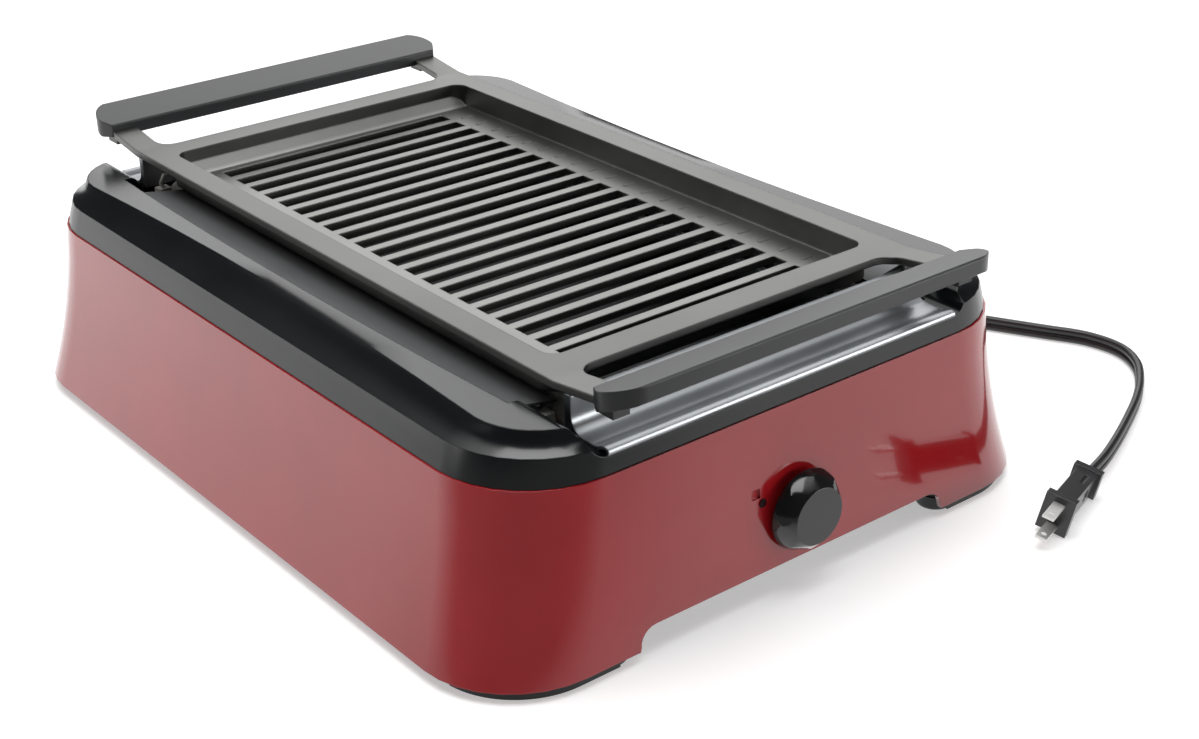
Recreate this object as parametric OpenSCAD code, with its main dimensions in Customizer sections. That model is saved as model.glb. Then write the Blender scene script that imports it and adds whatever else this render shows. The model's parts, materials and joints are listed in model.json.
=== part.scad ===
// Electric indoor grill: a flared housing with a turned rim, two radiant tubes
// along its long sides, a lift-out drip tray and a lift-off slotted grate that
// carries a raised handle at each end. The front, with the dial, faces -Y.
// The origin is the middle of the resting face, without the cord.

/* [Overall] */
// length over the two handles
overall_length = 520; // [480:1:560]
// width of the housing at its bottom edge
bottom_width = 380; // [350:1:400]
// length of the housing at its bottom edge
bottom_length = 498; // [470:1:520]
// height of the flat top of the grate frame
grate_top = 137; // [125:1:150]

/* [Lower housing] */
// height of the bottom edge above the table
skirt_bottom = 6; // [4:0.5:12]
// height of the seam with the black upper housing
seam_height = 101.6; // [90:0.2:110]
// how far the long sides flare out from the seam to the bottom
side_flare = 18.7; // [5:0.1:25]
// how far the ends flare out from the seam to the bottom
end_flare = 7.8; // [3:0.1:25]
// plan radius of the corners at the seam
corner_radius = 54; // [30:1:70]
// wall thickness of the plastic housings
wall = 3; // [2:0.5:4]
// half width of the cut-away between the corner feet
arch_half_width = 106; // [80:1:130]
// height of the top of the cut-away
arch_top = 17; // [12:0.5:30]

/* [Upper housing] */
// height of the flat rim
rim_top = 126; // [118:0.5:132]
// half width of the dip at each end
dip_half_width = 124; // [110:1:132]
// height of the floor of the dip
dip_floor = 111; // [106:0.5:118]
// how much the long sides of the rim are waisted at their middle
rim_waist = 6.5; // [0:0.5:10]

/* [Grate] */
// half width of the grate frame
grate_half_width = 118.3; // [110:0.1:124]
// half width of the sunk cooking area
well_half_width = 103.5; // [90:0.5:108]
// half length of the sunk cooking area
well_half_length = 185; // [150:1:190]
// depth of the cooking surface below the frame
well_depth = 14; // [8:0.5:20]
// number of slots across the cooking surface
slot_count = 21; // [12:1:26]
// distance from one slot to the next
slot_pitch = 16.5; // [12:0.1:20]
// width of a slot
slot_width = 10.6; // [6:0.1:12]
// half length of a slot
slot_half_length = 80.2; // [60:0.1:90]

/* [Heating] */
// distance of each tube from the middle line
tube_x = 97; // [90:0.5:104]
// height of the tube axis
tube_z = 108; // [100:0.5:112]
// radius of the quartz tube
tube_radius = 5.5; // [4:0.1:7]

/* [Dial] */
// height of the dial axis
dial_z = 43.6; // [40:0.1:58]
// radius of the dial at its base
dial_radius = 21.8; // [18:0.1:22]
// radius of the pocket behind the dial that takes the nut
pocket_radius = 9.6; // [8.6:0.1:14]

/* [Hidden] */
$fn = 64;
gap = 0.3;

// places shared by several sub-parts
seam_half_width = bottom_width / 2 - side_flare;
seam_half_length = bottom_length / 2 - end_flare;
skirt_drop = seam_height - skirt_bottom;
corner_steps = 8;
side_steps = 8;
rim_inner_x = 136;
rim_inner_y = 193;
opening_end_x = 118;
opening_end_y = 216;
skirt_wall_bottom = 104;
base_z = 18;
base_thickness = 2.5;
dial_x = 2.2;
pocket_floor_y = -239;
cup_wall = 2;
lamp_x = dial_x - 24.5;
lamp_z = dial_z + 10.5;
lamp_radius = 2.2;
frame_thickness = 4;
floor_thickness = 4;
floor_top = grate_top - well_depth;
end_bar = 202;
slot_shift = 2;
arm_inner_x = 103;
handle_inner_y = overall_length / 2 - 24.5;
handle_half_length = 123;
tray_half_width = 80;
tray_end_half_width = 114;
tray_wall_outer = 213;
tray_top = 130.7;
arm_screw_x = 111.8;
arm_screw_y = 241.2;
leg_bottom = 132.5;
tray_sheet = 1.6;
tray_bottom = 84;
shield_half_width = 133;
shield_half_length = 190;
shield_floor = 70;
gland_x = 100;
gland_z = 28;
cord_width = 9.6;
cord_thickness = 5;

// a smooth flare that starts nearly upright at the seam
function flare(z) = let(t = (seam_height - z) / skirt_drop) 0.35 * t + 0.65 * t * t;

// how far the long sides of the rim draw in at one place along the length
function waist(y) = let(t = y / 190) t * t < 1 ? 1 - t * t : 0;

// one ring of points: a rounded rectangle whose long sides may draw in
function corner_arc(hx, hy, r, sx, sy, start) = [for (i = [0 : corner_steps])
    let(a = start + 90 * i / corner_steps) [sx * (hx - r) + r * cos(a), sy * (hy - r) + r * sin(a)]];

function long_side(hx, hy, r, sx, from, draw_in) = [for (i = [1 : side_steps - 1])
    let(y = from * (hy - r) * (1 - 2 * i / side_steps)) [sx * (hx - draw_in * waist(y)), y]];

function ring(hx, hy, r) = concat(
    corner_arc(hx, hy, r, 1, 1, 0),
    corner_arc(hx, hy, r, -1, 1, 90),
    corner_arc(hx, hy, r, -1, -1, 180),
    corner_arc(hx, hy, r, 1, -1, 270));

function waisted_ring(hx, hy, r, draw_in) = concat(
    corner_arc(hx, hy, r, 1, 1, 0),
    corner_arc(hx, hy, r, -1, 1, 90),
    long_side(hx, hy, r, -1, 1, draw_in),
    corner_arc(hx, hy, r, -1, -1, 180),
    corner_arc(hx, hy, r, 1, -1, 270),
    long_side(hx, hy, r, 1, -1, draw_in));

function lifted(outline, z) = [for (p = outline) [p[0], p[1], z]];

function middle(points) = [for (axis = [0 : 2]) let(v = [for (p = points) p[axis]]) v * [for (p = points) 1] / len(v)];

// a solid through a stack of rings that all have the same number of points
module loft(rings) {
    n = len(rings[0]);
    last = len(rings) - 1;
    bottom = n * len(rings);
    polyhedron(
        points = concat([for (one = rings) each one], [middle(rings[0]), middle(rings[last])]),
        faces = concat(
            [for (i = [0 : n - 1]) [bottom, i, (i + 1) % n]],
            [for (i = [0 : n - 1]) [bottom + 1, last * n + (i + 1) % n, last * n + i]],
            [for (k = [0 : last - 1], i = [0 : n - 1])
                [k * n + i, (k + 1) * n + i, (k + 1) * n + (i + 1) % n]],
            [for (k = [0 : last - 1], i = [0 : n - 1])
                [k * n + i, (k + 1) * n + (i + 1) % n, k * n + (i + 1) % n]]));
}

function skirt_ring(z, inset) = lifted(ring(
    seam_half_width + side_flare * flare(z) - inset,
    seam_half_length + end_flare * flare(z) - inset,
    corner_radius - inset), z);

skirt_levels = [0, 0.1, 0.22, 0.35, 0.5, 0.65, 0.8, 1];

module skirt_solid(inset, low, high) {
    loft([for (t = skirt_levels) skirt_ring(low + (high - low) * t, inset)]);
}

// outline of a plate with rounded corners
module rounded_plate(hx, hy, r, thickness) {
    linear_extrude(thickness) union() {
        square([2 * hx, 2 * (hy - r)], center = true);
        square([2 * (hx - r), 2 * hy], center = true);
        for (sx = [-1, 1], sy = [-1, 1])
            translate([sx * (hx - r), sy * (hy - r)]) circle(r);
    }
}

// an X-Z outline drawn out along Y between two places
module along_y(y0, y1) {
    translate([0, y1, 0]) rotate([90, 0, 0]) linear_extrude(y1 - y0) children();
}

// a Y-Z outline drawn out along X between two places
module along_x(x0, x1) {
    translate([x0, 0, 0]) rotate([90, 0, 90]) linear_extrude(x1 - x0) children();
}

module both_ends() {
    children();
    mirror([0, 1, 0]) children();
}

module both_sides() {
    children();
    mirror([1, 0, 0]) children();
}

// the cut-away between the corner feet, with rounded shoulders
module arch_cut() {
    shoulder = 9;
    along_y(-bottom_length, bottom_length) {
        polygon(concat(
            [[-arch_half_width, -1], [arch_half_width, -1]],
            [for (a = [0 : 15 : 90]) [arch_half_width - 13 + 10 * cos(a), arch_top - shoulder + shoulder * sin(a)]],
            [for (a = [90 : 15 : 180]) [13 - arch_half_width + 10 * cos(a), arch_top - shoulder + shoulder * sin(a)]]));
    }
}

// bosses that take the base screws
boss_places = [[150, 150], [150, -150], [-150, 150], [-150, -150]];
boss_radius = 6;
screw_radius = 1.8;

module lower_housing() {
    color("#8f1d22") difference() {
        skirt_solid(0, skirt_bottom, seam_height);
        // the hollow, less what stands inside it
        difference() {
            skirt_solid(wall, skirt_bottom - 0.02, seam_height + 0.02);
            pocket_cup();
            for (p = boss_places) base_boss(p[0], p[1]);
            for (p = lid_screw_places) lid_lug(p[0], p[1]);
        }
        arch_cut();
        dial_cut();
        translate([gland_x, seam_half_length, gland_z]) rotate([-90, 0, 0]) cylinder(h = 20, r = 6.05);
        for (p = boss_places)
            translate([p[0], p[1], base_z]) cylinder(h = 12, r = screw_radius);
        for (p = lid_screw_places)
            translate([p[0], p[1], seam_height - 8]) cylinder(h = 12, r = screw_radius);
    }
}

// boss with a rib to the side wall
module base_boss(x, y) {
    translate([x, y, base_z + base_thickness]) {
        cylinder(h = 14, r = boss_radius);
        translate([x > 0 ? 0 : -40, -1.5, 0]) cube([40, 3, 14]);
    }
}

// lug under the seam that a housing screw passes through
module lid_lug(x, y) {
    depth = 26;
    translate([x - 8, y > 0 ? y - 8 : y + 8 - depth, seam_height - 3.6]) cube([16, depth, 3.7]);
}

// the moulded cup inside the front wall that carries the switch
module pocket_cup() {
    translate([dial_x, pocket_floor_y + cup_wall, dial_z]) rotate([90, 0, 0])
        cylinder(h = 20, r = pocket_radius + cup_wall);
}

// the nut's pocket, the hole for the bush, the lamp's hole and a shallow index mark
module dial_cut() {
    mark_size = 5.2;
    mark_x = dial_x - 28.5 - mark_size / 2;
    mark_z = dial_z + 16.2 - mark_size / 2;
    mark_back = 242.3;
    translate([dial_x, pocket_floor_y, dial_z]) rotate([90, 0, 0]) cylinder(h = 20, r = pocket_radius);
    translate([dial_x, pocket_floor_y + 5, dial_z]) rotate([90, 0, 0]) cylinder(h = 20, r = 5.1);
    translate([mark_x, -mark_back - 10, mark_z]) cube([mark_size, 10, mark_size]);
    translate([lamp_x, -235, lamp_z]) rotate([90, 0, 0]) cylinder(h = 20, r = lamp_radius + 0.05);
}

// half width, half length, corner radius and height of each ring of the outside
upper_levels = [
    [170.4, 240.4, 53.5, 101.6], [168.3, 239.9, 52.5, 108.5], [166.1, 239.2, 52, 115.7],
    [163.4, 236.9, 50, 117.2], [160, 234.4, 47, 119.4], [157.2, 232.5, 43, 122],
    [155, 231.2, 39, 124.6], [153.4, 230.2, 36, 126]];

// the same for the hollow underneath
hollow_levels = [
    [167.4, 237.4, 50.5, 101.5], [165.3, 236.9, 49.5, 108.5], [162, 235, 47, 114.6],
    [158.5, 232, 44, 117.5], [154.5, 229.5, 40, 120.5], [151, 227.5, 36, 122.8]];

function level_ring(v) = lifted(waisted_ring(v[0], v[1], v[2],
    rim_waist * max(0, (v[3] - 115.7) / (rim_top - 115.7))), v[3]);

module upper_outside() {
    loft([for (v = upper_levels) level_ring(v)]);
}

module upper_hollow() {
    loft([for (v = hollow_levels) level_ring(v)]);
}

// plan of the opening that takes the tray and the tubes
module opening_plan(grow) {
    bulge = 2;
    union() {
        polygon(concat(
            [for (i = [-10 : 10]) [rim_inner_x - bulge + 2 * bulge * waist(i * 19) + grow, i * (rim_inner_y + grow) / 10]],
            [for (i = [10 : -1 : -10]) [-(rim_inner_x - bulge + 2 * bulge * waist(i * 19) + grow),
                i * (rim_inner_y + grow) / 10]]));
        square([2 * (opening_end_x + grow), 2 * (opening_end_y + grow)], center = true);
    }
}

// the dip at each end, with soft upper edges and a rounded foot
module dip_outline() {
    polygon(concat(
        [[-dip_half_width - 8, rim_top + 8], [-dip_half_width - 8, rim_top + 0.01]],
        [for (a = [0 : 15 : 75]) [-dip_half_width - 7 + 6 * sin(a), rim_top - 6 + 6 * cos(a)]],
        [for (a = [180 : 15 : 270]) [10 - dip_half_width + 9 * cos(a), dip_floor + 9 + 9 * sin(a)]],
        [for (a = [270 : 15 : 360]) [dip_half_width - 10 + 9 * cos(a), dip_floor + 9 + 9 * sin(a)]],
        [for (a = [75 : -15 : 0]) [dip_half_width + 7 - 6 * sin(a), rim_top - 6 + 6 * cos(a)]],
        [[dip_half_width + 8, rim_top + 0.01], [dip_half_width + 8, rim_top + 8]]));
}

module upper_housing() {
    end_block = dip_half_width + 9;
    color("#1b1d1f") difference() {
        union() {
            difference() {
                upper_outside();
                upper_hollow();
            }
            // inner skirt round the opening
            intersection() {
                translate([0, 0, skirt_wall_bottom])
                    linear_extrude(rim_top - skirt_wall_bottom) opening_plan(2.5);
                upper_outside();
            }
            // shelf and side walls of the dips
            intersection() {
                both_ends() translate([-end_block, rim_inner_y, dip_floor - 3])
                    cube([2 * end_block, 50, rim_top - dip_floor + 3]);
                upper_outside();
            }
            for (p = lid_screw_places)
                translate([p[0], p[1], seam_height]) cylinder(h = dip_floor - 2 - seam_height, r = 5);
        }
        translate([0, 0, skirt_wall_bottom - 1])
            linear_extrude(rim_top - skirt_wall_bottom + 2) opening_plan(0);
        both_ends() along_y(rim_inner_y - 6, bottom_length / 2 + 10) dip_outline();
        for (p = lid_screw_places)
            translate([p[0], p[1], seam_height - 1]) cylinder(h = 8, r = screw_radius);
    }
}

// screws that hold the two housings together
lid_screw_places = [[0, 229], [0, -229], [90, 229], [-90, 229], [90, -229], [-90, -229]];

module base_plate() {
    color("#202224") difference() {
        rounded_plate_at(base_z, seam_half_width + side_flare * flare(base_z) - wall - 1.5,
            seam_half_length + end_flare * flare(base_z) - wall - 1.5, corner_radius - wall, base_thickness);
        for (p = boss_places)
            translate([p[0], p[1], base_z - 1]) cylinder(h = 6, r = screw_radius);
        // air slots under the electrics and the shield
        for (i = [-5 : 5], s = [-1, 1])
            translate([i * 18 - 3, s * 105 - 32, base_z - 1]) cube([6, 64, 5]);
    }
}

module rounded_plate_at(z, hx, hy, r, thickness) {
    translate([0, 0, z]) rounded_plate(hx, hy, r, thickness);
}

// a rubber foot that follows the corner of the housing and ends in a round bumper
module foot(sx, sy) {
    bumper_x = 113;
    bumper_y = 235.2;
    bumper_radius = 10;
    neck_radius = 9;
    pad_height = 8;
    rounding = 2.5;
    color("#17181a") mirror([sx > 0 ? 0 : 1, 0, 0]) mirror([0, sy > 0 ? 0 : 1, 0]) union() {
        intersection() {
            union() {
                rounded_plate(183.5, 245, 47, pad_height);
                rounded_plate(182, 243.8, 50, base_z);
            }
            union() {
                translate([118, 205, 0]) cube([70, 50, base_z]);
                translate([bumper_x, bumper_y - neck_radius, 0]) cube([30, 2 * bumper_radius, base_z]);
            }
        }
        translate([bumper_x, bumper_y, 0]) rotate_extrude() polygon(concat([[0, 0]],
            [for (a = [270 : 15 : 360]) [bumper_radius - rounding + rounding * cos(a), rounding + rounding * sin(a)]],
            [[bumper_radius, pad_height], [neck_radius, pad_height + 0.6], [neck_radius, base_z], [0, base_z]]));
    }
}

module foot_front_left() { foot(-1, -1); }
module foot_front_right() { foot(1, -1); }
module foot_back_left() { foot(-1, 1); }
module foot_back_right() { foot(1, 1); }

// dark sheet that covers the space between the rim and the tube
module side_panel() {
    outer = shield_half_width + 1;
    inner = tube_x + 7;
    main_end = 176;
    front_end = 190;
    color("#34373a") union() {
        along_y(-main_end, main_end) polygon([
            [outer, 122.3], [inner, 117], [inner, 113.8], [inner + 1, 113.8], [inner + 1, 116.1],
            [outer - 1, 121.1], [outer - 1, 112], [outer, 112]]);
        // the sheet runs on over the front bracket
        along_y(-front_end, -main_end + 1) polygon([
            [outer - 1.2, 122.1], [inner, 117], [inner, 115.9], [outer - 1.2, 120.9]]);
    }
}

module side_panel_right() { side_panel(); }
module side_panel_left() { mirror([1, 0, 0]) side_panel(); }

// steel pan that keeps the heat off the housing
module heat_shield() {
    sheet = 1.2;
    color("#9a9c9e") union() {
        translate([-shield_half_width, -shield_half_length, shield_floor])
            cube([2 * shield_half_width, 2 * shield_half_length, sheet]);
        both_sides() translate([shield_half_width - sheet, -shield_half_length, shield_floor])
            cube([sheet, 2 * shield_half_length, 47]);
        both_ends() translate([-shield_half_width, shield_half_length - sheet, shield_floor])
            cube([2 * shield_half_width, sheet, 11]);
    }
}

module shield_posts() {
    color("#8d8f91") for (sx = [-1, 1], sy = [-1, 1])
        translate([sx * 118, sy * 120, base_z + base_thickness])
            cylinder(h = shield_floor - base_z - base_thickness, r = 5);
}

// polished trough round the lower half of the tube
module reflector() {
    inner = 12.5;
    outer = 13.5;
    first = 180;
    last = 390;
    color("#c9cbcc") along_y(-172, 172) translate([tube_x, tube_z]) polygon(concat(
        [for (a = [first : 10 : last]) inner * [cos(a), sin(a)]],
        [for (a = [last : -10 : first]) outer * [cos(a), sin(a)]]));
}

module reflector_right() { reflector(); }
module reflector_left() { mirror([1, 0, 0]) reflector(); }

module quartz_tube() {
    color("#d9dadb") translate([tube_x, 186, tube_z]) rotate([90, 0, 0]) difference() {
        cylinder(h = 372, r = tube_radius);
        translate([0, 0, -1]) cylinder(h = 374, r = tube_radius - 1.2);
    }
}

module quartz_tube_right() { quartz_tube(); }
module quartz_tube_left() { mirror([1, 0, 0]) quartz_tube(); }

module heating_wire() {
    color("#6d6a66") translate([tube_x, 187, tube_z]) rotate([90, 0, 0]) cylinder(h = 374, r = 2.2);
}

module heating_wire_right() { heating_wire(); }
module heating_wire_left() { mirror([1, 0, 0]) heating_wire(); }

// ceramic cap that closes each end of a tube
module ceramic_caps() {
    color("#e9e6de") both_ends() translate([tube_x, 197, tube_z]) rotate([90, 0, 0]) difference() {
        cylinder(h = 20, r = 7.5);
        translate([0, 0, 10]) cylinder(h = 11, r = tube_radius + 0.05);
    }
}

module ceramic_caps_right() { ceramic_caps(); }
module ceramic_caps_left() { mirror([1, 0, 0]) ceramic_caps(); }

// steel bracket that stands on the shield and holds a cap in its open cradle
module bracket(sx, sy) {
    color("#a4a6a8") mirror([sx > 0 ? 0 : 1, 0, 0]) mirror([0, sy > 0 ? 0 : 1, 0]) difference() {
        union() {
            along_y(184.5, 186) polygon([[86, 71.2], [120, 71.2], [120, 104], [110, 113.4], [88, 113.4], [86, 110]]);
            translate([86, 174, 71.2]) cube([34, 12, 1.5]);
        }
        translate([tube_x, 190, tube_z]) rotate([90, 0, 0]) cylinder(h = 20, r = 7.55);
    }
}

module bracket_front_left() { bracket(-1, -1); }
module bracket_front_right() { bracket(1, -1); }
module bracket_back_left() { bracket(-1, 1); }
module bracket_back_right() { bracket(1, 1); }

// white ceramic lead blocks beside the caps, low at the front, with a bent tab on top at the back
module terminal_posts() {
    color("#efeeea") both_sides() {
        translate([107.8, -193, 103]) cube([7.6, 7, 9.5]);
        translate([107.8, 186, 103]) cube([7.6, 7, 13.5]);
        along_y(188.4, 190.6) polygon([[109.6, 116], [112.4, 116], [113.4, 119.5], [110.6, 124.6],
            [107.4, 124.6], [107.4, 123.8], [110, 123.8], [112.3, 119.6]]);
    }
}

module thermostat() {
    color("#2b2d30") difference() {
        union() {
            translate([dial_x - 13, pocket_floor_y + cup_wall, dial_z - 13]) cube([26, 24, 26]);
            translate([dial_x, pocket_floor_y + cup_wall, dial_z]) rotate([90, 0, 0]) cylinder(h = 5, r = 5);
        }
        translate([dial_x, pocket_floor_y + 12, dial_z]) rotate([90, 0, 0]) cylinder(h = 40, r = 3.05);
    }
}

module dial_nut() {
    color("#b5b7b9") translate([dial_x, pocket_floor_y, dial_z]) rotate([90, 0, 0]) difference() {
        cylinder(h = 3, r = 8, $fn = 6);
        translate([0, 0, -1]) cylinder(h = 5, r = 5);
    }
}

dial_hub_back = 246;
dial_back = 247.5;
dial_front = 258.7;

// turned dial, widest at its foot, with a plain round face and eight flats on its sloping edge
module dial() {
    depth = dial_front - dial_hub_back;
    skirt_start = dial_back - dial_hub_back;
    shoulder = 7.5;
    shoulder_radius = dial_radius - 1.4;
    face_radius = 15.3;
    flat_count = 8;
    flat_slope = 0.62;
    color("#1c1d1f") translate([dial_x, -dial_hub_back, dial_z]) rotate([90, 0, 0]) difference() {
        rotate_extrude() polygon([[3, 0], [8, 0], [8, skirt_start], [dial_radius - 0.5, skirt_start],
            [dial_radius, skirt_start + 0.6], [shoulder_radius, shoulder], [face_radius + 0.5, depth - 0.5],
            [face_radius, depth], [0, depth], [0, depth - 3], [3, depth - 3]]);
        for (i = [0 : flat_count - 1]) rotate([0, 0, (i + 0.5) * 360 / flat_count])
            translate([-12, face_radius + 0.3 + flat_slope * depth, 0])
                rotate([atan(flat_slope), 0, 0]) cube([24, 8, 1.3 * depth]);
    }
}

module dial_shaft() {
    color("#b9bbbd") translate([dial_x, pocket_floor_y + 11, dial_z]) rotate([90, 0, 0])
        cylinder(h = dial_front - 3 + pocket_floor_y + 11, r = 3);
}

// lamp beside the dial: its lens stands a little proud of the wall, its collar is behind it
module pilot_lens() {
    back = 236.4;
    collar_front = 240.4;
    lens_front = 244.4;
    color("#2a1a1c") translate([lamp_x, -back, lamp_z]) rotate([90, 0, 0]) {
        cylinder(h = lens_front - back, r = lamp_radius);
        cylinder(h = collar_front - back, r = lamp_radius + 1);
    }
}

module thermal_cutout() {
    color("#3a3c3e") translate([70, -90, shield_floor - 9]) cube([24, 12, 9]);
}

module mains_terminal() {
    color("#d8d6cf") translate([70, 190, base_z + base_thickness]) difference() {
        cube([44, 18, 16]);
        for (i = [0 : 2]) translate([9 + 13 * i, 9, 6]) cylinder(h = 12, r = 2.5);
    }
}

module base_screws() {
    color("#8b8d8f") for (p = boss_places) translate([p[0], p[1], base_z]) {
        translate([0, 0, -2]) cylinder(h = 2, r = 3.4);
        cylinder(h = 11.5, r = screw_radius);
    }
}

module housing_screws() {
    color("#8b8d8f") for (p = lid_screw_places) translate([p[0], p[1], seam_height - 3.6]) {
        translate([0, 0, -2]) cylinder(h = 2, r = 3.4);
        cylinder(h = 9.5, r = screw_radius);
    }
}

// the end of the tray: a folded wall, a thin cove and a lip that lies in the dip
module tray_end_outline() {
    lip_y = bottom_length / 2 - end_flare - 1.3;
    cove_radius = 8;
    cove_y = tray_wall_outer + cove_radius;
    cove_z = dip_floor + tray_sheet + cove_radius;
    polygon(concat(
        [[208.5, dip_floor], [208.5, tray_top - 0.7], [209.3, tray_top], [212.2, tray_top],
            [tray_wall_outer, tray_top - 0.7]],
        [for (a = [180 : 15 : 270]) [cove_y + cove_radius * cos(a), cove_z + cove_radius * sin(a)]],
        [[226, 112.6], [228, 112.3], [230, 112.2], [232, 112.6], [235, 114], [238, 114.4],
            [lip_y, 113.8], [lip_y + 0.6, 112.4], [lip_y, dip_floor]],
        // underside of the lip and of the cove
        [[lip_y - 1, dip_floor], [lip_y - 1.4, 112.3], [238, 112.9], [235.6, 112.6], [232.6, dip_floor]],
        [for (a = [270 : -15 : 225]) [cove_y + (cove_radius + tray_sheet) * cos(a),
            cove_z + (cove_radius + tray_sheet) * sin(a)]],
        [[tray_wall_outer, cove_z - 6], [tray_wall_outer, dip_floor]]));
}

module drip_tray() {
    inner_x = tray_half_width - tray_sheet;
    inner_y = 208.5 - tray_sheet;
    color("#b9bcbf") union() {
        both_ends() along_x(-tray_end_half_width, tray_end_half_width) tray_end_outline();
        difference() {
            union() {
                translate([0, 0, tray_bottom]) rounded_plate(tray_half_width, 208.5, 12, dip_floor - tray_bottom + 1.2);
                translate([0, 0, dip_floor - 0.4]) rounded_plate(tray_half_width + 3, 209, 12, tray_sheet);
            }
            translate([0, 0, tray_bottom + tray_sheet]) rounded_plate(inner_x, inner_y, 10.5, 40);
        }
    }
}

// height of the top of the arms along the length
function arm_top(y) = grate_top + 4 * (y - 206) / (handle_inner_y - 206);

module arm_outline() {
    polygon([[end_bar - 2, grate_top - frame_thickness], [end_bar - 2, grate_top], [206, grate_top],
        [handle_inner_y, arm_top(handle_inner_y)], [252, arm_top(252)],
        [252, arm_top(252) - frame_thickness], [handle_inner_y, arm_top(handle_inner_y) - frame_thickness],
        [206, grate_top - frame_thickness]]);
}

module arms() {
    fillet = 11;
    both_sides() both_ends() difference() {
        union() {
            along_x(arm_inner_x, grate_half_width) arm_outline();
            // pad that stands on the end wall of the tray
            translate([104.5, 208.9, tray_top + gap]) cube([8.5, 3.7, 4]);
            // fillet between the arm and the end bar
            intersection() {
                along_x(arm_inner_x - fillet, arm_inner_x + 1) arm_outline();
                cube([2 * grate_half_width, end_bar + fillet, 2 * grate_top]);
            }
        }
        translate([arm_inner_x - fillet, end_bar + fillet, grate_top - 10]) cylinder(h = 20, r = fillet);
        translate([arm_screw_x, arm_screw_y, grate_top - 5]) cylinder(h = 20, r = 2);
    }
}

// the sunk cooking area: upright long walls and a ramp at each end
module well_cavity() {
    ramp_top = 7.8;
    ramp_run = 7.5;
    intersection() {
        translate([0, 0, floor_top]) rounded_plate(well_half_width, well_half_length, 8, well_depth + 1);
        along_x(-well_half_width, well_half_width) polygon([
            [-well_half_length, grate_top + 1], [-well_half_length, grate_top - ramp_top],
            [ramp_run - well_half_length, floor_top], [well_half_length - ramp_run, floor_top],
            [well_half_length, grate_top - ramp_top], [well_half_length, grate_top + 1]]);
    }
}

function slot_y(i) = slot_shift + slot_pitch * (i - (slot_count - 1) / 2);

module grate() {
    outside = 3.5;
    color("#8d8d89") difference() {
        union() {
            difference() {
                union() {
                    translate([0, 0, grate_top - frame_thickness])
                        rounded_plate(grate_half_width, end_bar, 3, frame_thickness);
                    translate([0, 0, floor_top - floor_thickness])
                        rounded_plate(well_half_width + outside, well_half_length + outside, 11,
                            well_depth + floor_thickness);
                }
                well_cavity();
            }
            arms();
            // short ribs that carry on from the bars at each side of the floor
            for (i = [0 : slot_count - 2], s = [-1, 1])
                translate([s * 91 - 4, slot_y(i) + slot_pitch / 2 - 0.8, floor_top - 0.5]) cube([8, 1.6, 1.1]);
        }
        for (i = [0 : slot_count - 1])
            translate([-slot_half_length, slot_y(i) - slot_width / 2, floor_top - 10])
                cube([2 * slot_half_length, slot_width, 12]);
    }
}

// raised handle, solid plastic, seated over the two arms
module handle_section() {
    outer = overall_length / 2;
    polygon([[handle_inner_y, 137.5], [handle_inner_y, 144.6], [handle_inner_y + 0.6, 145.5],
        [outer - 1, 151.8], [outer, 151], [outer, 143.4], [outer - 1, 142.6], [243, 137.2]]);
}

// plan of the handle: flush with the arms on the inside, wider and rounded outside
module handle_plan() {
    corner = 16;
    side = handle_half_length;
    outer = overall_length / 2;
    polygon(concat(
        [[-grate_half_width, handle_inner_y], [grate_half_width, handle_inner_y], [side - 1, 241.4]],
        [for (a = [0 : 10 : 90]) [side - corner + corner * cos(a), outer - corner + corner * sin(a)]],
        [for (a = [90 : 10 : 180]) [corner - side + corner * cos(a), outer - corner + corner * sin(a)]],
        [[1 - side, 241.4]]));
}

module handle() {
    color("#2c2e30") difference() {
        union() {
            intersection() {
                along_x(-handle_half_length, handle_half_length) handle_section();
                translate([0, 0, grate_top - 7]) linear_extrude(30) handle_plan();
            }
            // short legs under the arms
            both_sides() translate([107, handle_inner_y, leg_bottom])
                cube([9.6, 247 - handle_inner_y, grate_top + 2 - leg_bottom]);
        }
        both_sides() along_x(arm_inner_x, grate_half_width) arm_outline();
        both_sides() translate([arm_screw_x, arm_screw_y, leg_bottom - 1]) {
            cylinder(h = 13, r = 2);
            cylinder(h = 3, r = 4.2);
        }
    }
}

module handle_back() { handle(); }
module handle_front() { mirror([0, 1, 0]) handle(); }

module handle_screws() {
    color("#7c7e80") both_sides() translate([arm_screw_x, arm_screw_y, leg_bottom]) {
        translate([0, 0, 0.3]) cylinder(h = 1.7, r = 4);
        translate([0, 0, 0.3]) cylinder(h = 11.5, r = 2);
    }
}

module handle_screws_back() { handle_screws(); }
module handle_screws_front() { mirror([0, 1, 0]) handle_screws(); }

// tapered boot that leads the cord out of the back wall
gland_start = seam_half_length + 1;
gland_end = 274;

module strain_relief() {
    color("#1a1b1d") translate([gland_x, 0, gland_z]) rotate([-90, 0, 0]) {
        translate([0, 0, gland_start]) cylinder(h = 10, r = 6);
        translate([0, 0, 247.4]) cylinder(h = 3, r = 8.5);
        translate([0, 0, 250.4]) cylinder(h = gland_end - 250.4, r1 = 7.4, r2 = 5.6);
    }
}

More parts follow.
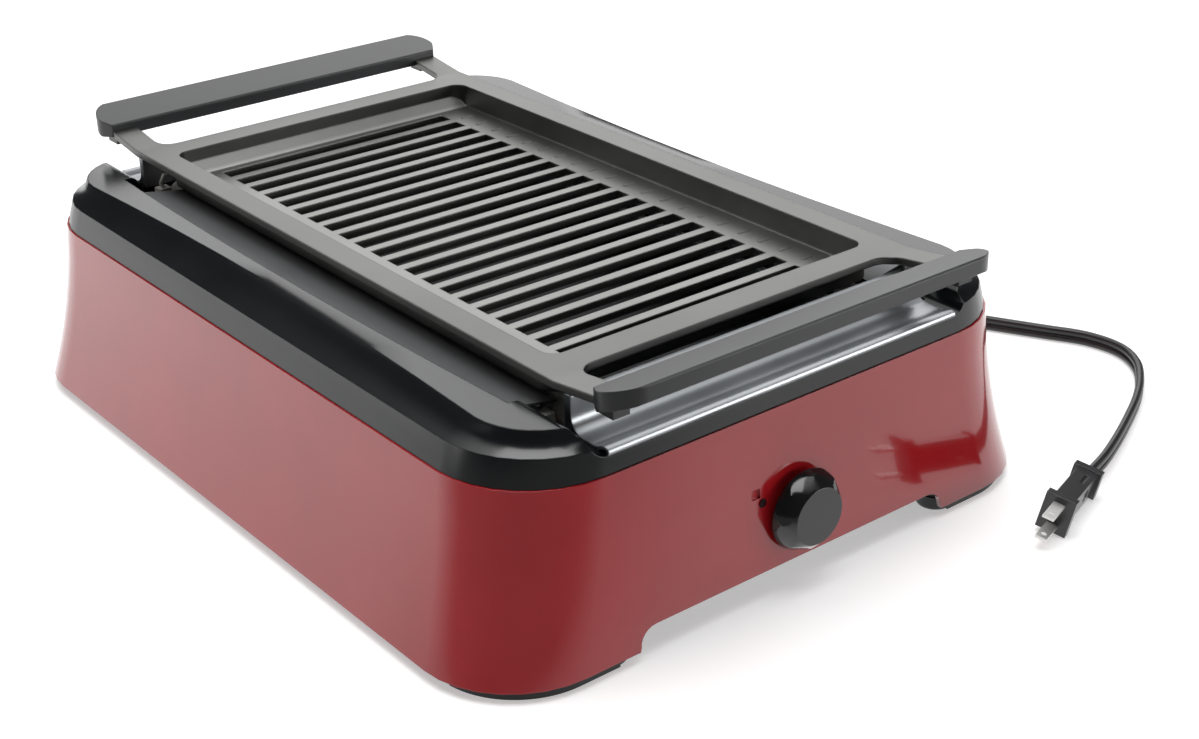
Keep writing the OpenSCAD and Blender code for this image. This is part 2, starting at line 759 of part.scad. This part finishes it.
// the cord leaves the back, goes round the corner and lies past the front end
cord_rest = cord_width / 2 + 0.2;
plug_start = [181.5, -282, 9.8];
cord_route = [[100, 274, 28], [100, 283, 27.3], [103, 299, 22.5], [112, 315, 15], [126, 327, 8.8],
    [145, 333, cord_rest], [166, 332, cord_rest], [187, 324, cord_rest], [204, 309, cord_rest],
    [216, 288, cord_rest], [224, 260, cord_rest], [230, 222, cord_rest], [235, 178, cord_rest],
    [241, 131, cord_rest], [248, 84, cord_rest], [256, 37, cord_rest], [265, -8, cord_rest],
    [276, -48, cord_rest], [289, -81, cord_rest], [304, -111, cord_rest], [319, -140, cord_rest],
    [331, -164, cord_rest], [333, -188, cord_rest], [323, -208, cord_rest], [305, -224, cord_rest],
    [284, -237.5, cord_rest + 0.4], [258, -251, cord_rest + 1.6], [232, -263.5, cord_rest + 3],
    [206, -274.5, cord_rest + 4.2], plug_start - [0.75, 0.3, 0]];

function catmull(a, b, c, d, t) = 0.5 * (2 * b + (c - a) * t + (2 * a - 5 * b + 4 * c - d) * t * t
    + (3 * b - a - 3 * c + d) * t * t * t);

function route_point(i) = cord_route[max(0, min(len(cord_route) - 1, i))];

smooth_route = [for (i = [0 : len(cord_route) - 2], t = [0, 0.5])
    if (i > 0 || t == 0) catmull(route_point(i - 1), route_point(i), route_point(i + 1), route_point(i + 2), t),
    cord_route[len(cord_route) - 1]];

function unit(v) = v / norm(v);

// a flat twin section standing on its edge, square to the way the cord runs
module flat_tube(route, sides) {
    last = len(route) - 1;
    heading = [for (i = [0 : last]) unit(route[min(last, i + 1)] - route[max(0, i - 1)])];
    level = [for (d = heading) unit([d[1], -d[0], 0])];
    loft([for (i = [0 : last]) let(up = cross(level[i], heading[i])) [for (k = [sides - 1 : -1 : 0])
        let(a = 360 * (k + 0.5) / sides) route[i] + level[i] * cord_thickness / 2 * cos(a)
            + up * cord_width / 2 * sin(a)]]);
}

module power_cord() {
    color("#26282a") flat_tube(smooth_route, 10);
}

plug_length = 50;

// the plug rests on one edge of its face, rolled a little to the side
module at_plug() {
    translate(plug_start) rotate([0, 0, 200]) rotate([0, -3, 0]) rotate([-12, 0, 0]) children();
}

// moulded flat plug with a collar at each end and a dimple on each side
module plug_body() {
    collar = 16;
    flange = 5;
    color("#242629") at_plug() difference() {
        union() {
            translate([0, -collar / 2, -collar / 2]) cube([flange, collar, collar]);
            translate([flange - 1, -5.7, -7]) cube([plug_length - 2 * flange + 2, 11.4, 14]);
            translate([plug_length - flange, -8.3, -10.7]) cube([flange, 16.6, 21.4]);
        }
        for (s = [-1, 1]) translate([0.36 * plug_length, s * 8, 0]) sphere(r = 4.5);
        for (s = [-1, 1]) translate([10, 1.6 * s - 0.9, s * 7 - 0.8]) cube([10, 1.8, 1.6]);
    }
}

// two flat blades with a hole near each tip
module plug_blades() {
    reach = 17.5;
    color("#d8d8d4") at_plug() for (s = [-1, 1]) difference() {
        translate([plug_length - 4, -3.2, s * 6.35 - 0.75]) cube([reach + 4, 6.4, 1.5]);
        translate([plug_length + reach - 4.5, 0, s * 6.35 - 3]) cylinder(h = 6, r = 1.5);
    }
}

lower_housing();
upper_housing();
base_plate();
foot_front_left();
foot_front_right();
foot_back_left();
foot_back_right();
side_panel_left();
side_panel_right();
heat_shield();
shield_posts();
reflector_left();
reflector_right();
quartz_tube_left();
quartz_tube_right();
heating_wire_left();
heating_wire_right();
ceramic_caps_left();
ceramic_caps_right();
bracket_front_left();
bracket_front_right();
bracket_back_left();
bracket_back_right();
terminal_posts();
thermostat();
dial_nut();
dial();
dial_shaft();
pilot_lens();
thermal_cutout();
mains_terminal();
base_screws();
housing_screws();
drip_tray();
grate();
handle_front();
handle_back();
handle_screws_front();
handle_screws_back();
strain_relief();
power_cord();
plug_body();
plug_blades();
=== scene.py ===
"""Electric indoor grill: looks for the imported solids, a floor, lights and the camera."""

import json
import math

import bmesh
import bpy
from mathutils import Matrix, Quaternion, Vector


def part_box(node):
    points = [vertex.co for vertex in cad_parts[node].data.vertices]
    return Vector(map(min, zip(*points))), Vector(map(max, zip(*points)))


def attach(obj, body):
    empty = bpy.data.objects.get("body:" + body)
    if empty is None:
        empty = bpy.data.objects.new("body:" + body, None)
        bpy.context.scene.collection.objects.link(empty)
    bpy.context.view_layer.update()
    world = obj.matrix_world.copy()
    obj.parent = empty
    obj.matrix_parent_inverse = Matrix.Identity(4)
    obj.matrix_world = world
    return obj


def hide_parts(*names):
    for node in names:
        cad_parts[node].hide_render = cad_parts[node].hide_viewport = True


MM = 0.001
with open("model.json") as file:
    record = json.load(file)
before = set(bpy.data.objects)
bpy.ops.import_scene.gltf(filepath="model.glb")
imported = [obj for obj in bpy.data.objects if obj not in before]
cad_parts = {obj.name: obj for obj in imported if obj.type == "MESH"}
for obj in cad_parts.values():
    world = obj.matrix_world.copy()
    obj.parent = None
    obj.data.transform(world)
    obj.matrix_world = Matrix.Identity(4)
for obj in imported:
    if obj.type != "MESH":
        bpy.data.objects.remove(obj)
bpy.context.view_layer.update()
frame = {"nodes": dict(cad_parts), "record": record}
nodes = frame["nodes"]

# Camera: the place, aim and lens that the photograph was taken with
IMAGE_WIDTH = 1199
CAMERA_PLACE = Vector((-582.4, -829.1, 522.1)) * MM
CAMERA_AIM = Vector((67.5, -8.3, 9.8)) * MM
CAMERA_ROLL = -0.0189
FOCAL_PIXELS = 1922.2
CENTRE_OFFSET_PIXELS = (3.9, 0.4)


def make_camera():
    data = bpy.data.cameras.new("camera")
    data.sensor_width = 36
    data.lens = FOCAL_PIXELS / IMAGE_WIDTH * data.sensor_width
    data.shift_x = -CENTRE_OFFSET_PIXELS[0] / IMAGE_WIDTH
    data.shift_y = CENTRE_OFFSET_PIXELS[1] / IMAGE_WIDTH
    data.clip_start = 0.05
    data.clip_end = 50
    camera = bpy.data.objects.new("camera", data)
    bpy.context.scene.collection.objects.link(camera)
    camera.location = CAMERA_PLACE
    camera.rotation_mode = "QUATERNION"
    look = (CAMERA_AIM - CAMERA_PLACE).to_track_quat("-Z", "Y")
    camera.rotation_quaternion = look @ Quaternion((0, 0, 1), CAMERA_ROLL)
    bpy.context.scene.camera = camera


make_camera()

# Cord: the route is part.scad's own, in millimetres
CORD_WIDTH = 9.6
CORD_THICKNESS = 5.0
GROOVE_ANGLE = 62
CORD_ROUTE = [
    (100, 274, 28), (100, 283, 27.3), (103, 299, 22.5), (112, 315, 15), (126, 327, 8.8),
    (145, 333, 5), (166, 332, 5), (187, 324, 5), (204, 309, 5),
    (216, 288, 5), (224, 260, 5), (230, 222, 5), (235, 178, 5),
    (241, 131, 5), (248, 84, 5), (256, 37, 5), (265, -8, 5),
    (276, -48, 5), (289, -81, 5), (304, -111, 5), (319, -140, 5),
    (331, -164, 5), (333, -188, 5), (323, -208, 5), (305, -224, 5),
    (284, -237.5, 5.4), (258, -251, 6.6), (232, -263.5, 8),
    (206, -274.5, 9.2), (180.75, -282.3, 9.8),
]


def smooth_path(points, steps):
    """A Catmull-Rom line through the points, with steps samples to a stretch."""
    points = [Vector(p) * MM for p in points]
    padded = [points[0], *points, points[-1]]
    line = []
    for a, b, c, d in zip(padded, padded[1:], padded[2:], padded[3:]):
        for k in range(steps):
            t = k / steps
            line.append(0.5 * (2 * b + (c - a) * t + (2 * a - 5 * b + 4 * c - d) * t * t
                               + (3 * b - a - 3 * c + d) * t * t * t))
    return [*line, points[-1]]


def new_object(name, shape, smooth=True):
    """An object in the scene made from the shape's faces."""
    mesh = bpy.data.meshes.new(name)
    bmesh.ops.recalc_face_normals(shape, faces=shape.faces)
    shape.to_mesh(mesh)
    shape.free()
    for polygon in mesh.polygons:
        polygon.use_smooth = smooth
    made = bpy.data.objects.new(name, mesh)
    bpy.context.scene.collection.objects.link(made)
    return made


def loft(name, rings):
    """A closed skin through rings of points, all with the same number of points."""
    made = bmesh.new()
    rows = [[made.verts.new(p) for p in ring] for ring in rings]
    count = len(rows[0])
    for low, high in zip(rows, rows[1:]):
        for k in range(count):
            made.faces.new((low[k], low[(k + 1) % count], high[(k + 1) % count], high[k]))
    made.faces.new(rows[0])
    made.faces.new(rows[-1])
    return new_object(name, made)


def twin_profile(width, thickness):
    """Outline of a flat twin lead: two round conductors with a shallow groove between."""
    sides = 14
    lobe = thickness / 2
    reach = width / 2 - lobe
    half = []
    for k in range(sides + 1):
        angle = math.radians(-GROOVE_ANGLE + (180 + 2 * GROOVE_ANGLE) * k / sides)
        half.append((lobe * math.cos(angle), reach + lobe * math.sin(angle)))
    return half + [(-x, -z) for x, z in half]


def make_cord():
    path = smooth_path(CORD_ROUTE, 6)
    outline = twin_profile(CORD_WIDTH, CORD_THICKNESS)
    rings = []
    for k, point in enumerate(path):
        ahead = path[min(k + 1, len(path) - 1)] - path[max(k - 1, 0)]
        ahead.normalize()
        level = Vector((ahead.y, -ahead.x, 0)).normalized()
        up = level.cross(ahead)
        rings.append([point + (level * x + up * z) * MM for x, z in outline])
    cord = loft("power_cord_twin", rings)
    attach(cord, "housing")
    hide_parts("power_cord")
    return cord


cord = make_cord()


# Heating wire: a close winding along the axis of each tube, in place of the plain rod
WIRE_RADIUS = 0.45 * MM
WINDING_TURNS = 96
STEPS_PER_TURN = 10
WIRE_SIDES = 5


def make_winding(side):
    name = f"heating_wire_{side}"
    low, high = (Vector(corner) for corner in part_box(name))
    middle = (low + high) / 2
    coil_radius = (high.x - low.x) / 2 - WIRE_RADIUS
    start = low.y + WIRE_RADIUS
    end = high.y - WIRE_RADIUS
    steps = WINDING_TURNS * STEPS_PER_TURN
    corners = [2 * math.pi * n / WIRE_SIDES for n in range(WIRE_SIDES)]
    rings = []
    for k in range(steps + 1):
        angle = 2 * math.pi * k / STEPS_PER_TURN
        outward = Vector((math.cos(angle), 0, math.sin(angle)))
        on_axis = Vector((middle.x, start + (end - start) * k / steps, middle.z))
        centre = on_axis + outward * coil_radius
        rings.append([centre + (outward * math.cos(a) + Vector((0, math.sin(a), 0))) * WIRE_RADIUS
                      for a in corners])
    winding = loft(f"winding_{side}", rings)
    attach(winding, "housing")
    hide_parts(name)
    return winding


windings = [make_winding("left"), make_winding("right")]


# Materials
def node_material(name):
    material = bpy.data.materials.new(name)
    material.use_nodes = True
    tree = material.node_tree
    shader = tree.nodes["Principled BSDF"]
    return material, tree, shader


def add_noise(tree, scale, detail=3.0, rough=0.5):
    place = tree.nodes.new("ShaderNodeTexCoord")
    noise = tree.nodes.new("ShaderNodeTexNoise")
    noise.inputs["Scale"].default_value = scale
    noise.inputs["Detail"].default_value = detail
    noise.inputs["Roughness"].default_value = rough
    tree.links.new(place.outputs["Object"], noise.inputs["Vector"])
    return noise.outputs["Fac"]


def ramp(tree, value, low, high, start=0.3, end=0.7):
    made = tree.nodes.new("ShaderNodeValToRGB")
    made.color_ramp.elements[0].position = start
    made.color_ramp.elements[1].position = end
    made.color_ramp.elements[0].color = (*low, 1)
    made.color_ramp.elements[1].color = (*high, 1)
    tree.links.new(value, made.inputs["Fac"])
    return made.outputs["Color"]


def span(tree, value, low, high):
    made = tree.nodes.new("ShaderNodeMapRange")
    made.inputs["To Min"].default_value = low
    made.inputs["To Max"].default_value = high
    tree.links.new(value, made.inputs["Value"])
    return made.outputs["Result"]


def grade(tree, value, start, end, low, high):
    """A smooth step from low to high as the value goes from start to end."""
    made = tree.nodes.new("ShaderNodeMapRange")
    made.interpolation_type = "SMOOTHSTEP"
    for name, number in (("From Min", start), ("From Max", end), ("To Min", low), ("To Max", high)):
        made.inputs[name].default_value = number
    tree.links.new(value, made.inputs["Value"])
    return made.outputs["Result"]


def surface(name, dark, light, rough, metallic=0.0, colour_scale=18.0, grain=900.0,
            bump=0.02, depth=0.0002, coat=0.0, coat_rough=0.1, edge=0.0, ior=1.5):
    """A plastic, rubber or metal: mottled colour, uneven gloss and a fine grain."""
    material, tree, shader = node_material(name)
    shader.inputs["Metallic"].default_value = metallic
    shader.inputs["IOR"].default_value = ior
    shader.inputs["Coat Weight"].default_value = coat
    shader.inputs["Coat Roughness"].default_value = coat_rough
    broad = add_noise(tree, colour_scale)
    fine = add_noise(tree, grain, 2.0)
    tree.links.new(ramp(tree, broad, dark, light), shader.inputs["Base Color"])
    tree.links.new(span(tree, broad, rough[0], rough[1]), shader.inputs["Roughness"])
    relief = tree.nodes.new("ShaderNodeBump")
    relief.inputs["Strength"].default_value = bump
    relief.inputs["Distance"].default_value = depth
    tree.links.new(fine, relief.inputs["Height"])
    if edge > 0:
        bevel = tree.nodes.new("ShaderNodeBevel")
        bevel.samples = 4
        bevel.inputs["Radius"].default_value = edge
        tree.links.new(bevel.outputs["Normal"], relief.inputs["Normal"])
    tree.links.new(relief.outputs["Normal"], shader.inputs["Normal"])
    return material


RED = surface("red_gloss", (0.345, 0.008, 0.012), (0.395, 0.011, 0.016), (0.10, 0.15),
              coat=0.6, coat_rough=0.04, edge=0.0008, ior=1.55)
BLACK = surface("black_gloss", (0.004, 0.005, 0.006), (0.007, 0.008, 0.009), (0.16, 0.22),
                edge=0.0010, ior=1.58)
SATIN = surface("black_satin", (0.014, 0.014, 0.016), (0.022, 0.022, 0.024), (0.4, 0.5), edge=0.0008)
HANDLE = surface("handle_plastic", (0.018, 0.019, 0.020), (0.026, 0.027, 0.029), (0.28, 0.36),
                 edge=0.0010, ior=1.62)
RUBBER = surface("foot_rubber", (0.010, 0.011, 0.012), (0.016, 0.017, 0.018), (0.5, 0.6), bump=0.1)
SHEET = surface("dark_sheet", (0.125, 0.129, 0.133), (0.15, 0.154, 0.158), (0.4, 0.5), metallic=0.3)
ZINC = surface("zinc_steel", (0.38, 0.38, 0.38), (0.5, 0.5, 0.5), (0.3, 0.45),
               metallic=1.0, edge=0.0004)
MIRROR = surface("polished_sheet", (0.68, 0.68, 0.68), (0.75, 0.75, 0.75), (0.08, 0.16), metallic=1.0)
TRAY = surface("tray_steel", (0.33, 0.345, 0.36), (0.40, 0.415, 0.43), (0.26, 0.36),
               metallic=1.0, edge=0.0010)
CAST = surface("cast_grate", (0.132, 0.132, 0.128), (0.166, 0.166, 0.160), (0.32, 0.42),
               metallic=1.0, grain=1400.0, bump=0.12, edge=0.0012)
CERAMIC = surface("ceramic", (0.72, 0.70, 0.66), (0.82, 0.80, 0.76), (0.5, 0.6))
WIRE = surface("heating_wire", (0.2, 0.19, 0.17), (0.3, 0.28, 0.25), (0.4, 0.5), metallic=1.0)
DIAL = surface("dial_plastic", (0.008, 0.008, 0.009), (0.012, 0.012, 0.013), (0.08, 0.13),
               edge=0.0005, ior=1.6)
LENS = surface("pilot_lens", (0.02, 0.008, 0.009), (0.03, 0.01, 0.012), (0.1, 0.15))
CORD = surface("cord_rubber", (0.012, 0.012, 0.014), (0.02, 0.02, 0.022), (0.3, 0.4))
PLUG = surface("plug_vinyl", (0.016, 0.016, 0.018), (0.024, 0.024, 0.026), (0.26, 0.34),
               edge=0.0008, ior=1.65)
PLATED = surface("plated_blades", (0.80, 0.80, 0.78), (0.88, 0.88, 0.86), (0.3, 0.4), metallic=0.75)

# Heights in metres between which a colour changes, and the share of it that is left below: painted shade
# in the tray, a painted highlight on the grate's floor bars
# Painted shade: the tray's steel is darkened below the grate, where shade falls
TRAY_PAINTED_SHADE = (0.0985, 0.1095, 0.10)
# Painted highlight: the grate's floor bars, below the frame top, are lightened where light shines on them
BAR_PAINTED_HIGHLIGHT = (0.1232, 0.1250, 1.6)


def tint_below(material, low, high, share):
    """The colour below a height is a share of the one above it: painted shade in the tray under the grate,
    and a painted highlight on the grate's floor bars.
    """
    tree = material.node_tree
    shader = tree.nodes["Principled BSDF"]
    clean = shader.inputs["Base Color"].links[0].from_socket
    place = tree.nodes.new("ShaderNodeTexCoord")
    split = tree.nodes.new("ShaderNodeSeparateXYZ")
    tree.links.new(place.outputs["Object"], split.inputs["Vector"])
    mixed = tree.nodes.new("ShaderNodeMix")
    mixed.data_type = "RGBA"
    mixed.blend_type = "MULTIPLY"
    mixed.inputs["Factor"].default_value = 1.0
    tree.links.new(clean, mixed.inputs["A"])
    tree.links.new(grade(tree, split.outputs["Z"], low, high, share, 1.0), mixed.inputs["B"])
    tree.links.new(mixed.outputs["Result"], shader.inputs["Base Color"])


tint_below(TRAY, *TRAY_PAINTED_SHADE)
tint_below(CAST, *BAR_PAINTED_HIGHLIGHT)


def quartz():
    """Clear tube glass with a slightly uneven gloss."""
    material, tree, shader = node_material("quartz")
    shader.inputs["Transmission Weight"].default_value = 0.9
    shader.inputs["IOR"].default_value = 1.46
    tree.links.new(span(tree, add_noise(tree, 60.0), 0.05, 0.15), shader.inputs["Roughness"])
    tree.links.new(ramp(tree, add_noise(tree, 30.0), (0.85, 0.86, 0.87), (0.93, 0.94, 0.95)),
                   shader.inputs["Base Color"])
    return material


QUARTZ = quartz()

LOOKS = {
    "red_gloss": RED, "black_gloss": BLACK, "black_plastic": SATIN, "foot_rubber": RUBBER,
    "dark_sheet": SHEET, "galvanised_steel": ZINC, "polished_sheet": MIRROR, "quartz": QUARTZ,
    "heating_wire": WIRE, "ceramic": CERAMIC, "dial_plastic": DIAL, "pilot_lens": LENS,
    "tray_steel": TRAY, "cast_grate": CAST, "handle_plastic": HANDLE, "cord_rubber": CORD,
    "plated_blades": PLATED,
}


SHARP_ANGLE = 30
WELD_DISTANCE = 0.00002


def dress(thing, material):
    thing.data.materials.clear()
    thing.data.materials.append(material)


def soften(thing):
    """Smooth shading that keeps the edges sharper than SHARP_ANGLE."""
    if "custom_normal" in thing.data.attributes:
        thing.data.attributes.remove(thing.data.attributes["custom_normal"])
    for polygon in thing.data.polygons:
        polygon.use_smooth = True
    weld = thing.modifiers.new("weld", "WELD")
    weld.merge_threshold = WELD_DISTANCE
    split = thing.modifiers.new("split", "EDGE_SPLIT")
    split.split_angle = math.radians(SHARP_ANGLE)


for row in frame["record"]["subparts"]:
    node = nodes[row["node"]]
    dress(node, LOOKS[row["material_slot"]])
    soften(node)
dress(nodes["plug_body"], PLUG)
for winding in windings:
    dress(winding, WIRE)
dress(cord, CORD)


# Floor, lights and world. In glossy walls the floor shines with FLOOR_SHEEN at the back and to
# the right and with FRONT_SHEEN in front; SHEEN_STEP is where x + y passes from one to the other.
# Past FRONT_STEP, in y, the front share is taken of either.
FLOOR_PAINT = 0.78
FLOOR_GLOW = 0.42
MIRRORED_PAINT = 0.10
FLOOR_SHEEN = 1.08
FRONT_SHEEN = 0.2
SHEEN_STEP = (-0.55, -0.30)
FRONT_SHARE = 0.78
FRONT_STEP = (-0.38, -0.10)
HORIZON_LIGHT = 0.04
ZENITH_LIGHT = 1.6
SKY_STEP = (0.55, 0.95)
FRONT_DIMMING = 0.5


def math_node(tree, kind, first, second):
    made = tree.nodes.new("ShaderNodeMath")
    made.operation = kind
    for socket, value in zip(made.inputs, (first, second)):
        if isinstance(value, (int, float)):
            socket.default_value = value
        else:
            tree.links.new(value, socket)
    return made.outputs[0]


def make_floor():
    """A white table. Glossy walls mirror it bright behind and to the right, dim in front."""
    made = bmesh.new()
    bmesh.ops.create_grid(made, x_segments=1, y_segments=1, size=12)
    floor = new_object("floor", made, smooth=False)
    material, tree, shader = node_material("floor")
    tree.nodes.remove(shader)
    seen = tree.nodes.new("ShaderNodeLightPath")
    mirrored = seen.outputs["Is Glossy Ray"]
    direct = math_node(tree, "MAXIMUM", seen.outputs["Is Camera Ray"], seen.outputs["Is Transmission Ray"])
    place = tree.nodes.new("ShaderNodeTexCoord")
    split = tree.nodes.new("ShaderNodeSeparateXYZ")
    tree.links.new(place.outputs["Object"], split.inputs["Vector"])
    along = math_node(tree, "ADD", split.outputs["X"], split.outputs["Y"])
    around = grade(tree, along, *SHEEN_STEP, FRONT_SHEEN, FLOOR_SHEEN)
    nearer = grade(tree, split.outputs["Y"], *FRONT_STEP, FRONT_SHARE, 1.0)
    sheen = math_node(tree, "MULTIPLY", around, nearer)
    sheen = math_node(tree, "MULTIPLY", sheen, mirrored)
    tone = tree.nodes.new("ShaderNodeMix")
    tone.data_type = "RGBA"
    tone.inputs["A"].default_value = (FLOOR_PAINT, FLOOR_PAINT, FLOOR_PAINT, 1)
    tone.inputs["B"].default_value = (MIRRORED_PAINT, MIRRORED_PAINT, MIRRORED_PAINT, 1)
    tree.links.new(mirrored, tone.inputs["Factor"])
    paint = tree.nodes.new("ShaderNodeBsdfDiffuse")
    tree.links.new(tone.outputs["Result"], paint.inputs["Color"])
    glow = tree.nodes.new("ShaderNodeEmission")
    seen_glow = math_node(tree, "MULTIPLY", direct, FLOOR_GLOW)
    tree.links.new(math_node(tree, "ADD", seen_glow, sheen), glow.inputs["Strength"])
    both = tree.nodes.new("ShaderNodeAddShader")
    tree.links.new(paint.outputs[0], both.inputs[0])
    tree.links.new(glow.outputs[0], both.inputs[1])
    tree.links.new(both.outputs[0], tree.nodes["Material Output"].inputs["Surface"])
    dress(floor, material)


def area_light(name, place, size, radiance, aim_height=0.1):
    """A rectangular lamp that faces a point above the middle of the object's resting face."""
    data = bpy.data.lights.new(name, "AREA")
    data.shape = "RECTANGLE"
    data.size, data.size_y = size
    data.energy = radiance * math.pi * size[0] * size[1]
    lamp = bpy.data.objects.new(name, data)
    bpy.context.scene.collection.objects.link(lamp)
    lamp.location = place
    lamp.rotation_mode = "QUATERNION"
    aim = Vector((0, 0, aim_height)) - Vector(place)
    lamp.rotation_quaternion = aim.to_track_quat("-Z", "Y")


def make_world():
    """Grey light that grows from the horizon to overhead, later towards the front left."""
    world = bpy.data.worlds.new("world")
    bpy.context.scene.world = world
    world.use_nodes = True
    tree = world.node_tree
    place = tree.nodes.new("ShaderNodeTexCoord")
    split = tree.nodes.new("ShaderNodeSeparateXYZ")
    tree.links.new(place.outputs["Generated"], split.inputs["Vector"])
    back = tree.nodes["Background"]
    back.inputs["Color"].default_value = (1, 1, 1, 1)
    sideways = math_node(tree, "ADD", split.outputs["X"], split.outputs["Y"])
    dimming = math_node(tree, "MULTIPLY", math_node(tree, "MINIMUM", sideways, 0.0), FRONT_DIMMING)
    height = math_node(tree, "ADD", split.outputs["Z"], dimming)
    tree.links.new(grade(tree, height, *SKY_STEP, HORIZON_LIGHT, ZENITH_LIGHT),
                   back.inputs["Strength"])


make_floor()
make_world()
area_light("key_above", (-0.2, -0.2, 2.4), (1.6, 1.6), 3.6, aim_height=0.05)
area_light("back_right", (1.7, 1.9, 1.35), (2.4, 2.0), 1.8)
area_light("left_low", (-2.1, 2.1, 0.32), (2.8, 0.6), 2.6)
area_light("front_right", (1.9, -2.3, 0.45), (1.8, 0.9), 5.0)
area_light("left_side", (-2.2, 1.1, 0.7), (1.2, 1.0), 1.7)

bpy.context.scene.view_settings.view_transform = "Standard"
